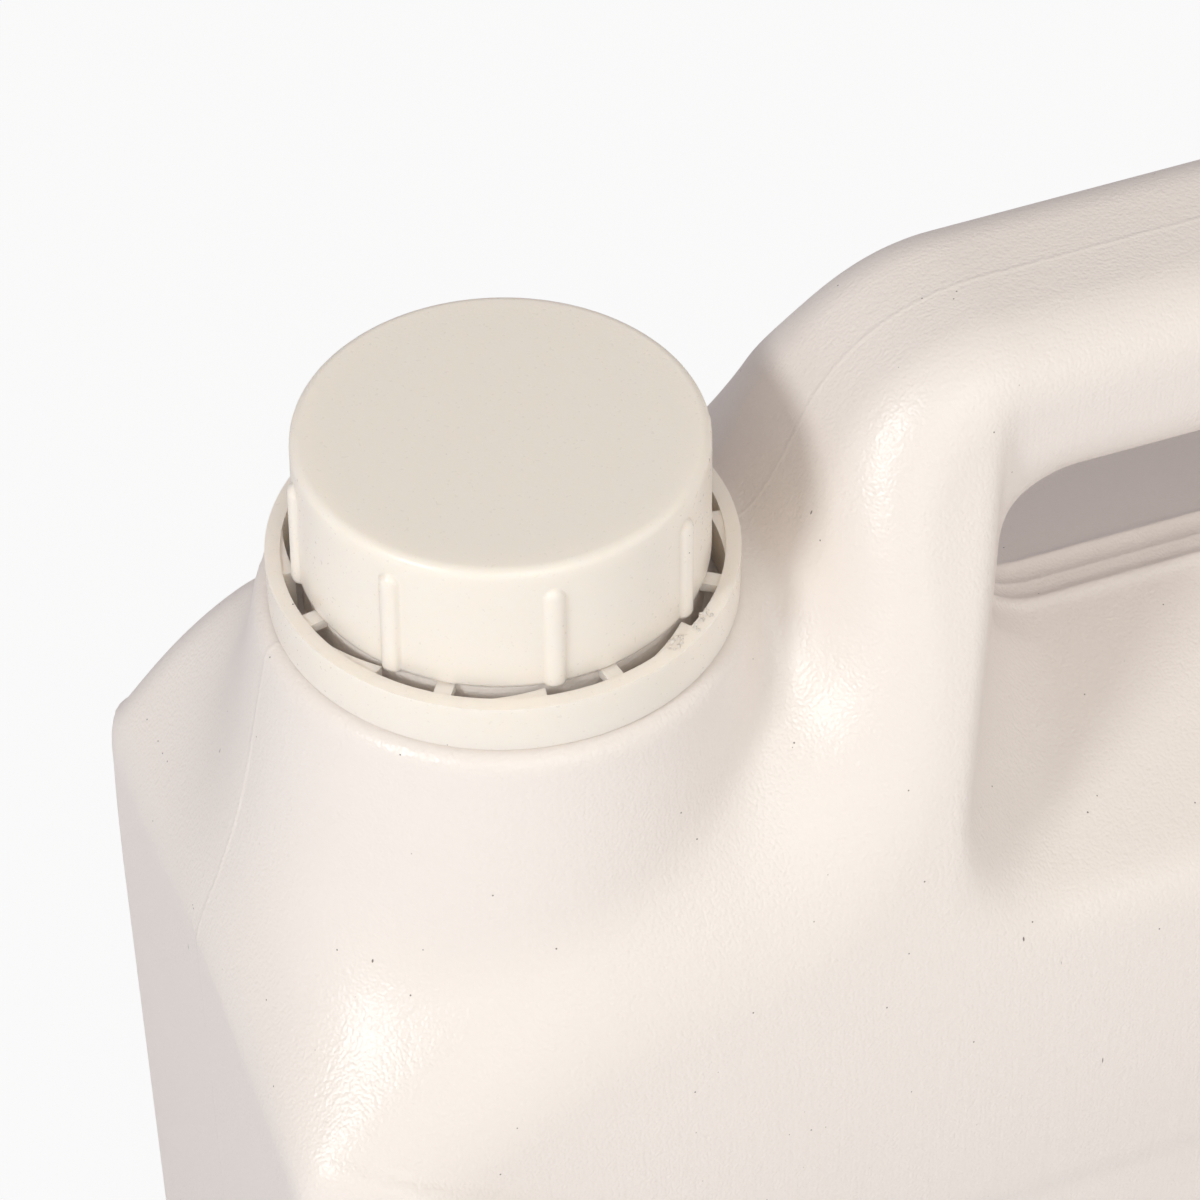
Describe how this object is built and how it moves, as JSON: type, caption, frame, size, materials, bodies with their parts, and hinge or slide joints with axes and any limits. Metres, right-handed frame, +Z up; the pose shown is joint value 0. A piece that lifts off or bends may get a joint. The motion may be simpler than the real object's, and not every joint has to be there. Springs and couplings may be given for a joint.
{
  "type": "floor cleaner bottle",
  "caption": "Blow-moulded plastic jerrycan with a hollow through handle, a tall neck hub, a wide screw cap and its tamper ring.",
  "frame": {"origin": "centre of the bounding box in plan, on the plane that the base stands on", "axes": "+Z up along the height, +X from the neck towards the handle's far end, +Y across the bottle"},
  "size_m": [0.2066, 0.102, 0.3007],
  "materials": {
    "body_plastic": "satin blow-moulded polyethylene with a fine grain",
    "cap_plastic": "smooth injection-moulded plastic",
    "liner_foam": "soft foam wad"
  },
  "bodies": {
    "bottle": {"bottle_body": "body_plastic", "tamper_ring": "cap_plastic"},
    "cap_wad": {"cap_liner": "liner_foam"},
    "cap": {"screw_cap": "cap_plastic"}
  },
  "joints": [
    {"name": "cap_lift", "type": "slide", "parent": "bottle", "child": "cap_wad", "axis": [0, 0, 1], "range_m": [0, 0.0077]},
    {"name": "cap_turn", "type": "hinge", "parent": "cap_wad", "child": "cap", "pos_m": [-0.0587, 0, 0.285], "axis": [0, 0, 1], "range_deg": [0, 540]}
  ],
  "couplings": [
    {"joint": "cap_lift", "follows": "cap_turn", "m_per_rad": 0.00079577}
  ]
}
